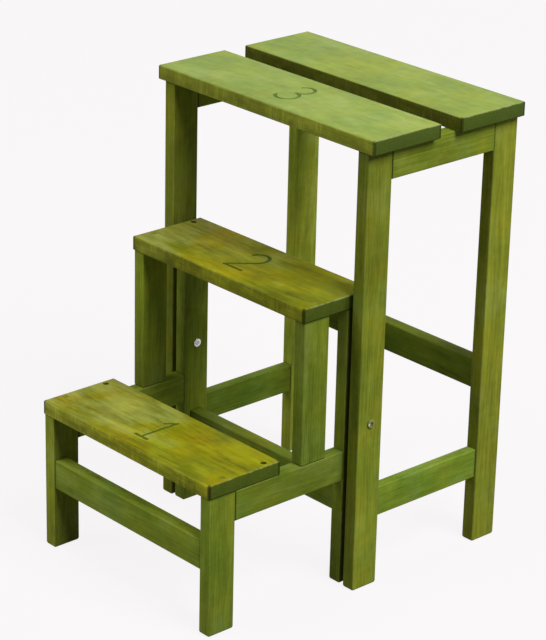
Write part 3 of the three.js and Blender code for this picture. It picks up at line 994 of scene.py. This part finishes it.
# Finishes of the small pieces. Each noise has its scale, detail and roughness, and its stretch where it
# runs one way. Each tone has its noise, the noise's values from where to where it sets in, and its
# brightness. The roughness has its noise, least and most, and the relief its noise, depth and strength.
STEEL_CLOUDS = (420.0, 3.0, 0.55)
STEEL = {
    "noises": {"clouds": STEEL_CLOUDS, "scratches": (1.0, 3.0, 0.6, (300.0, 2600.0, 2600.0))},
    "tones": [("clouds", 0.35, 0.7, 0.72)],
    "relief": ("scratches", 0.00002, 0.5),
    "sockets": {"Metallic": 1.0},
}
SMALL_FINISHES = {
    "phosphated_steel": {**STEEL, "colour": "screw_metal", "rough": ("clouds", 0.3, 0.5)},
    "plated_steel": {**STEEL, "colour": "bolt_metal", "rough": ("clouds", 0.18, 0.34)},
    "stained_filler": {
        "colour": "filler", "noises": {"specks": (900.0, 3.0, 0.7), "patches": (260.0, 2.0, 0.5)},
        "tones": [("patches", 0.35, 0.65, 1.35), ("specks", 0.5, 0.68, 0.5)],
        "rough": ("specks", 0.6, 0.8), "relief": ("specks", 0.0002, 0.6),
        "sockets": {"Specular IOR Level": 0.1}},
    "black_nylon": {
        "colour": "nylon", "noises": {"grain": (2200.0, 2.0, 0.6)},
        "tones": [("grain", 0.45, 0.8, 2.2)], "rough": ("grain", 0.45, 0.6),
        "relief": ("grain", 0.00003, 0.5), "sockets": {}},
    "bare_beech": {
        "colour": "beech", "noises": {"flecks": (1.0, 3.0, 0.6, (120.0, 900.0, 900.0))},
        "tones": [("flecks", 0.5, 0.75, 0.62)], "rough": ("flecks", 0.6, 0.75),
        "relief": ("flecks", 0.00008, 0.5), "sockets": {}},
}
# Between these values lies nearly all of a noise
NOISE_SPAN = (0.3, 0.7)


class SmallShader(Shader):
    """Steel, filler, plastic or bare beech, with noises for its tones, its polish and its relief."""

    def __init__(self, name):
        super().__init__(bpy.data.materials.new(name))
        finish = SMALL_FINISHES[name]
        where = self.object_place()
        noises = {key: self.noise(where, *noise) for key, noise in finish["noises"].items()}
        colour = hue(finish["colour"])
        for key, low, high, tone in finish["tones"]:
            colour = self.mix(self.ramp(noises[key], low, high), colour, hue(finish["colour"], tone))
        key, least, most = finish["rough"]
        rough = self.ramp(noises[key], *NOISE_SPAN, least, most)
        key, depth, strength = finish["relief"]
        self.surface(colour, rough, noises[key], depth, strength, finish["sockets"])


# The bare spot that paints a bolt's glint: how ragged its rim is, and from where to where the stain sets in
# round it
SPOT_RAGS = (900.0, 3.0, 0.6)
SPOT_RAG_DEPTH = 0.0004
SPOT_RIM = (0.0011, 0.0015)
# Metallic share and roughness of the stained head and of its bare spot, where its clouds set in, how
# dark they are, and its relief
HEAD_METAL = (0.25, 1.0)
HEAD_ROUGHNESS = (0.55, 0.3)
HEAD_CLOUDS = (0.35, 0.7)
HEAD_TONE = 0.6
HEAD_RELIEF = (0.00004, 0.5)


class BoltShader(Shader):
    """Bolt head that took the stain of the leg, with bright bare steel at its rim that paints its glint."""

    def __init__(self, name):
        super().__init__(bpy.data.materials.new(name))
        where = self.object_place()
        clouds = self.noise(where, *STEEL_CLOUDS)
        spot = box_middle("pivot_bolt_right") + Vector(chosen("hardware").glint_spot_offset)
        flat = self.vector("MULTIPLY", where, ACROSS)
        reach = self.vector("DISTANCE", flat, (0.0, spot.y, spot.z), "Value")
        rags = self.ramp(self.noise(where, *SPOT_RAGS), *NOISE_SPAN, -SPOT_RAG_DEPTH, SPOT_RAG_DEPTH)
        # Painted highlight: bright bare steel where the glint falls
        bare = self.ramp(self.math("ADD", reach, rags), *SPOT_RIM, 1.0, 0.0)
        stained = self.mix(
            self.ramp(clouds, *HEAD_CLOUDS), hue("stained_metal"), hue("stained_metal", HEAD_TONE))
        colour = self.mix(bare, stained, hue("bolt_metal"))
        rough = self.ramp(bare, 0.0, 1.0, *HEAD_ROUGHNESS)
        metal = self.ramp(bare, 0.0, 1.0, *HEAD_METAL)
        self.surface(colour, rough, clouds, *HEAD_RELIEF, {"Metallic": metal})


# Operators


class STOOL_OT_boards(bpy.types.Operator):
    """Make the seat boards and the step boards, with their screw holes and carved numerals"""
    bl_idname = "stool.boards"
    bl_label = "Boards"

    def execute(self, context):
        for node in BOARDS:
            cuts = fitting_bores(node)
            if node in NUMERALS:
                cuts += numeral_tools(node, NUMERALS[node])
            timber_piece(node, *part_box(node), True, cuts)
        return {"FINISHED"}


class STOOL_OT_legs(bpy.types.Operator):
    """Make the legs of both halves and the two posts, with their mortises and bores"""
    bl_idname = "stool.legs"
    bl_label = "Legs and posts"

    def execute(self, context):
        for node in LEGS:
            cuts = fitting_bores(node) + mortises(node)
            if node.startswith(("frame_leg_front", "step_leg_rear")):
                cuts.append(pivot_bore(node))
            timber_piece(node, *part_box(node), True, cuts)
        return {"FINISHED"}


class STOOL_OT_side_rails(bpy.types.Operator):
    """Make the rails that run from front to back, with a stub tenon at each end"""
    bl_idname = "stool.side_rails"
    bl_label = "Side rails"

    def execute(self, context):
        for node in SIDE_RAILS:
            low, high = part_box(node)
            front_leg, rear_leg = rail_ends(node)
            low.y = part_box(front_leg)[1].y
            high.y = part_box(rear_leg)[0].y
            timber_piece(node, low, high, False, fitting_bores(node), [block(*tenon_box(node, 0))])
        return {"FINISHED"}


class STOOL_OT_cross_rails(bpy.types.Operator):
    """Make the rails that run from side to side, with a dowel bore at each end"""
    bl_idname = "stool.cross_rails"
    bl_label = "Cross rails"

    def execute(self, context):
        for node in CROSS_RAILS:
            timber_piece(node, *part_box(node), False, fitting_bores(node))
        return {"FINISHED"}


class STOOL_OT_dowels(bpy.types.Operator):
    """Give the dowels their bare beech"""
    bl_idname = "stool.dowels"
    bl_label = "Dowels"

    def execute(self, context):
        for name, node in frame["nodes"].items():
            if "_dowel_" in name:
                node.data.materials.clear()
                node.data.materials.append(made_once("bare_beech", SmallShader))
        return {"FINISHED"}


class STOOL_OT_screws(bpy.types.Operator):
    """Make the screws of the seat and the steps"""
    bl_idname = "stool.screws"
    bl_label = "Screws"

    def execute(self, context):
        for node in BODY_OF:
            if "_screw_" in node:
                self.screw(node)
            if "_step_screw_front_" in node:
                self.plug(node)
        return {"FINISHED"}

    def screw(self, node):
        hardware = chosen("hardware")
        low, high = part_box(node)
        radius = (high.x - low.x) / 2
        span = high.z - low.z
        head = hardware.screw_head_height
        shank = hardware.screw_shank_radius
        profile = [
            (0, -span),
            (SCREW_POINT * shank, -span),
            (shank, hardware.screw_tip - span),
            (shank, -head),
            (radius, -head),
            *rounded_rim(radius, 0, hardware.rim_radius),
            (0, 0),
        ]
        piece = object_from(f"{node}_steel", turned(profile, SMALL_SIDES))
        carve(piece, [hex_prism(hardware.screw_socket_radius, -hardware.screw_socket_depth, head)])
        piece.data.transform(screw_place(node))
        place_piece(piece, node, made_once("phosphated_steel", SmallShader))

    def plug(self, node):
        """A plug of filler from the screw's head to just under the face of the board."""
        room = chosen("timber").clearance / 2
        low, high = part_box(node)
        board = f"step_board_{node.split('_')[0]}"
        side = (high.x - low.x) / 2 + room
        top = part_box(board)[1].z - room - high.z
        profile = [(0, room), (side, room), *rounded_rim(side, top, room), (0, top)]
        piece = object_from(f"{node}_filler", turned(profile, SMALL_SIDES))
        piece.data.transform(screw_place(node))
        piece.data.materials.append(made_once("stained_filler", SmallShader))
        smooth_by_angle(piece)
        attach(piece, BODY_OF[node])


class STOOL_OT_pivots(bpy.types.Operator):
    """Make the pivot bolts and their cap nuts"""
    bl_idname = "stool.pivots"
    bl_label = "Pivot bolts and cap nuts"

    def execute(self, context):
        for side in SIDES:
            self.fitting(f"pivot_bolt_{side}", side, True)
            self.fitting(f"pivot_cap_nut_{side}", side, False)
        return {"FINISHED"}

    def fitting(self, node, side, is_bolt):
        """A bolt with its shank and thread, or a nut with its hole, from the thread's end to the head."""
        hardware = chosen("hardware")
        low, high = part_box(node)
        radius = (high.z - low.z) / 2
        span = high.x - low.x
        head = hardware.bolt_head_height
        shank = hardware.bolt_shank_radius
        thread = hardware.bolt_thread_radius
        leg_face = abs(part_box(f"step_leg_rear_{side}")[side == "left"].x)
        start = min(abs(low.x), abs(high.x))
        if is_bolt:
            metal = made_once("stained_steel", BoltShader)
            shoulder = leg_face + hardware.bolt_nut_barrel + chosen("timber").clearance - start
            profile = [(0, 0), (thread, 0), (thread, shoulder), (shank, shoulder)]
        else:
            metal = made_once("plated_steel", SmallShader)
            depth = span - (leg_face + hardware.bolt_nut_floor - start)
            hole = thread + hardware.running_clearance
            profile = [(0, depth), (hole, depth), (hole, 0), (shank, 0)]
        rim = rounded_rim(radius, span, hardware.rim_radius)
        profile += [(shank, span - head), (radius, span - head), *rim, (0, span)]
        piece = object_from(f"{node}_steel", turned(profile, hardware.round_sides))
        socket = hex_prism(hardware.bolt_socket_radius, span - hardware.bolt_socket_depth, span + head)
        carve(piece, [socket])
        outward = 1 if (side == "right") == is_bolt else -1
        middle = box_middle(node)
        foot = Matrix.Translation((low.x if outward > 0 else high.x, middle.y, middle.z))
        piece.data.transform(foot @ Matrix.Rotation(outward * QUARTER_TURN, 4, "Y"))
        place_piece(piece, node, metal)


class STOOL_OT_spacers(bpy.types.Operator):
    """Make the nylon spacers between the legs"""
    bl_idname = "stool.spacers"
    bl_label = "Spacers"

    def execute(self, context):
        hardware = chosen("hardware")
        for side in SIDES:
            node = f"pivot_spacer_{side}"
            low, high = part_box(node)
            radius = (high.z - low.z) / 2
            half = (high.x - low.x) / 2
            inner = hardware.bolt_shank_radius + hardware.running_clearance
            upper = rounded_rim(radius, half, hardware.rim_radius)
            lower = rounded_rim(radius, -half, hardware.rim_radius, -1)[::-1]
            profile = [(inner, -half), *lower, *upper, (inner, half), (inner, -half)]
            piece = object_from(f"{node}_nylon", turned(profile, hardware.round_sides))
            place = Matrix.Translation(box_middle(node))
            piece.data.transform(place @ Matrix.Rotation(QUARTER_TURN, 4, "Y"))
            place_piece(piece, node, made_once("black_nylon", SmallShader))
        return {"FINISHED"}


class STOOL_OT_stage(bpy.types.Operator):
    """Lay the pale floor, hang the lamps and set up the camera"""
    bl_idname = "stool.stage"
    bl_label = "Stage"

    def execute(self, context):
        stage = chosen("stage")
        self.floor(stage)
        self.sky(context, stage)
        for name in ("key", "fill", "back"):
            self.lamp(context, stage, name)
        self.camera(context, stage)
        context.scene.view_settings.view_transform = "Standard"
        return {"FINISHED"}

    def floor(self, stage):
        bm = bmesh.new()
        bmesh.ops.create_circle(bm, cap_ends=True, segments=FLOOR_SIDES, radius=stage.floor_radius)
        ground = object_from("studio_floor", bm)
        shader = Shader(bpy.data.materials.new("studio_floor"), bare=True)
        colour = (*stage.floor_colour, 1)
        matte = shader.node("ShaderNodeBsdfDiffuse", Color=colour).outputs[0]
        glow = shader.node("ShaderNodeEmission", Color=colour).outputs[0]
        grey = (stage.floor_bounce,) * 3 + (1,)
        bounce = shader.node("ShaderNodeBsdfDiffuse", Color=grey).outputs[0]
        seen = shader.blend(stage.floor_glow, matte, glow)
        either = shader.blend(shader.watching_rays(), bounce, seen)
        shader.node("ShaderNodeOutputMaterial", Surface=either)
        ground.data.materials.append(shader.owner)

    def sky(self, context, stage):
        world = bpy.data.worlds.new("studio_sky")
        context.scene.world = world
        shader = Shader(world, bare=True)
        soft = shader.node("ShaderNodeBackground", Color=(1, 1, 1, 1), Strength=stage.sky_level)
        pale = shader.node("ShaderNodeBackground", Color=(*stage.floor_colour, 1))
        either = shader.blend(shader.watching_rays(), soft.outputs[0], pale.outputs[0])
        shader.node("ShaderNodeOutputWorld", Surface=either)

    def lamp(self, context, stage, name):
        light = bpy.data.lights.new(f"{name}_lamp", "AREA")
        light.shape = "SQUARE"
        light.size = getattr(stage, f"{name}_size")
        light.energy = getattr(stage, f"{name}_power")
        lamp = bpy.data.objects.new(f"{name}_lamp", light)
        hung = Vector(getattr(stage, f"{name}_place"))
        aim = Vector(stage.lamp_target) - hung
        lamp.matrix_world = Matrix.Translation(hung) @ aim.to_track_quat("-Z", "Y").to_matrix().to_4x4()
        context.scene.collection.objects.link(lamp)

    def camera(self, context, stage):
        data = bpy.data.cameras.new("studio_camera")
        data.lens = stage.camera_focus * data.sensor_width
        camera = bpy.data.objects.new("studio_camera", data)
        turn = Matrix.Rotation(stage.camera_azimuth, 4, "Z")
        look = Matrix.Rotation(QUARTER_TURN - stage.camera_elevation, 4, "X")
        roll = Matrix.Rotation(stage.camera_roll, 4, "Z")
        camera.matrix_world = Matrix.Translation(stage.camera_place) @ turn @ look @ roll
        context.scene.collection.objects.link(camera)
        context.scene.camera = camera


OPERATORS = [
    STOOL_OT_boards,
    STOOL_OT_legs,
    STOOL_OT_side_rails,
    STOOL_OT_cross_rails,
    STOOL_OT_dowels,
    STOOL_OT_screws,
    STOOL_OT_pivots,
    STOOL_OT_spacers,
    STOOL_OT_stage,
]


class STOOL_PT_panel(bpy.types.Panel):
    """Lists the stool's sizes, colours and pieces"""
    bl_idname = "STOOL_PT_panel"
    bl_label = "Step Stool"
    bl_space_type = "VIEW_3D"
    bl_region_type = "UI"
    bl_category = "Step Stool"

    def draw(self, context):
        layout = self.layout
        for attribute, group in PROPERTY_GROUPS.items():
            column = layout.box().column()
            column.label(text=group.__doc__)
            for name in group.__annotations__:
                column.prop(getattr(context.scene, attribute), name)
        for operator in OPERATORS:
            layout.operator(operator.bl_idname)


CLASSES = [*PROPERTY_GROUPS.values(), *OPERATORS, STOOL_PT_panel]


def register():
    for cls in CLASSES:
        bpy.utils.register_class(cls)
    for attribute, group in PROPERTY_GROUPS.items():
        setattr(bpy.types.Scene, attribute, PointerProperty(type=group))


def unregister():
    for attribute in PROPERTY_GROUPS:
        delattr(bpy.types.Scene, attribute)
    for cls in reversed(CLASSES):
        bpy.utils.unregister_class(cls)


def main():
    register()
    for operator in OPERATORS:
        group, name = operator.bl_idname.split(".")
        getattr(getattr(bpy.ops, group), name)()


if __name__ == "__main__":
    main()
